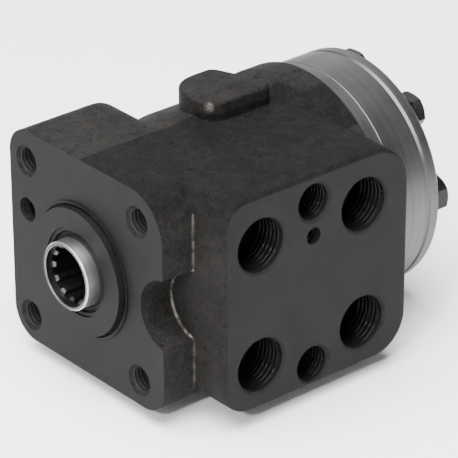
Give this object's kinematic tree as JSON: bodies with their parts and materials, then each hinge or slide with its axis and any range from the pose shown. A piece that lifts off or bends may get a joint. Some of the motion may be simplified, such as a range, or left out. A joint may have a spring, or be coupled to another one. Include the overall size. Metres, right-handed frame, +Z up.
{
  "type": "orbital steering unit",
  "caption": "Hydrostatic orbital steering unit: cast housing with column flange and side ports, rotary valve with splined input, and a gerotor meter stack held by cover screws.",
  "frame": {"origin": "centre of the column flange's face, on the shaft axis", "axes": "+X out of the port face, +Y along the shaft from the column flange to the end cover, +Z up"},
  "size_m": [0.1017, 0.136, 0.0915],
  "materials": {
    "cast_iron": "dark cast skin, machined faces",
    "ground_steel": "turned and ground",
    "black_steel": "black oxide",
    "washer_steel": "dark zinc",
    "polished_steel": "ground and polished",
    "hardened_steel": "ground",
    "cage_steel": "pressed",
    "spring_steel": "blued",
    "seal_rubber": "matt"
  },
  "bodies": {
    "housing_body": {"housing": "cast_iron", "distributor_plate": "ground_steel", "gear_ring": "ground_steel", "end_cover": "ground_steel", "cover_screws": "black_steel", "cover_washers": "washer_steel", "dust_seal": "seal_rubber", "shaft_seal": "seal_rubber", "bearing_outer_race": "hardened_steel", "o_ring_housing": "seal_rubber", "o_ring_plate": "seal_rubber", "o_ring_cover": "seal_rubber", "check_valve_bushing": "hardened_steel", "relief_seat": "hardened_steel", "relief_adjuster": "black_steel", "relief_spring": "spring_steel", "relief_plug_seal": "seal_rubber", "relief_plug": "black_steel", "gallery_plug": "black_steel"},
    "sleeve_body": {"sleeve": "hardened_steel", "cross_pin": "hardened_steel", "centring_springs": "spring_steel", "spring_ring": "spring_steel", "bearing_inner_race": "hardened_steel"},
    "spool_body": {"spool": "polished_steel"},
    "orbit_body": {"spacer_disc": "hardened_steel"},
    "star_body": {"star": "hardened_steel"},
    "drive_shaft_body": {"drive_shaft": "hardened_steel"},
    "cage_body": {"bearing_cage": "cage_steel", "bearing_needles": "hardened_steel"},
    "check_ball_body": {"check_valve_ball": "hardened_steel"},
    "poppet_body": {"relief_poppet": "hardened_steel"}
  },
  "joints": [
    {"name": "sleeve_turn", "type": "hinge", "parent": "housing_body", "child": "sleeve_body", "pos_m": [0, 0.05, 0], "axis": [0, 1, 0], "continuous": true},
    {"name": "spool_twist", "type": "hinge", "parent": "sleeve_body", "child": "spool_body", "pos_m": [0, 0.05, 0], "axis": [0, 1, 0], "range_deg": [-12, 12], "stiffness_Nm_per_rad": 2, "deforming": ["centring_springs"]},
    {"name": "rotor_orbit", "type": "hinge", "parent": "housing_body", "child": "orbit_body", "pos_m": [0, 0.1093, 0], "axis": [0, 1, 0], "continuous": true},
    {"name": "star_spin", "type": "hinge", "parent": "orbit_body", "child": "star_body", "pos_m": [-0.0026, 0.1093, 0], "axis": [0, 1, 0], "continuous": true},
    {"name": "drive_shaft_spin", "type": "hinge", "parent": "orbit_body", "child": "drive_shaft_body", "pos_m": [0, 0.043, 0], "axis": [-0.0392, 0.9992, 0], "continuous": true},
    {"name": "bearing_cage_turn", "type": "hinge", "parent": "housing_body", "child": "cage_body", "pos_m": [0, 0.01112, 0], "axis": [0, 1, 0], "continuous": true},
    {"name": "check_ball_lift", "type": "slide", "parent": "housing_body", "child": "check_ball_body", "axis": [-1, 0, 0], "range_m": [0, 0.0018]},
    {"name": "relief_poppet_lift", "type": "slide", "parent": "housing_body", "child": "poppet_body", "axis": [0, -1, 0], "range_m": [0, 0.0008], "stiffness_N_per_m": 8000, "springref_m": -0.002, "deforming": ["relief_spring"]}
  ],
  "couplings": [
    {"joint": "rotor_orbit", "follows": "sleeve_turn", "ratio": -6},
    {"joint": "star_spin", "follows": "sleeve_turn", "ratio": 7},
    {"joint": "drive_shaft_spin", "follows": "sleeve_turn", "ratio": 7},
    {"joint": "bearing_cage_turn", "follows": "sleeve_turn", "ratio": 0.5}
  ]
}
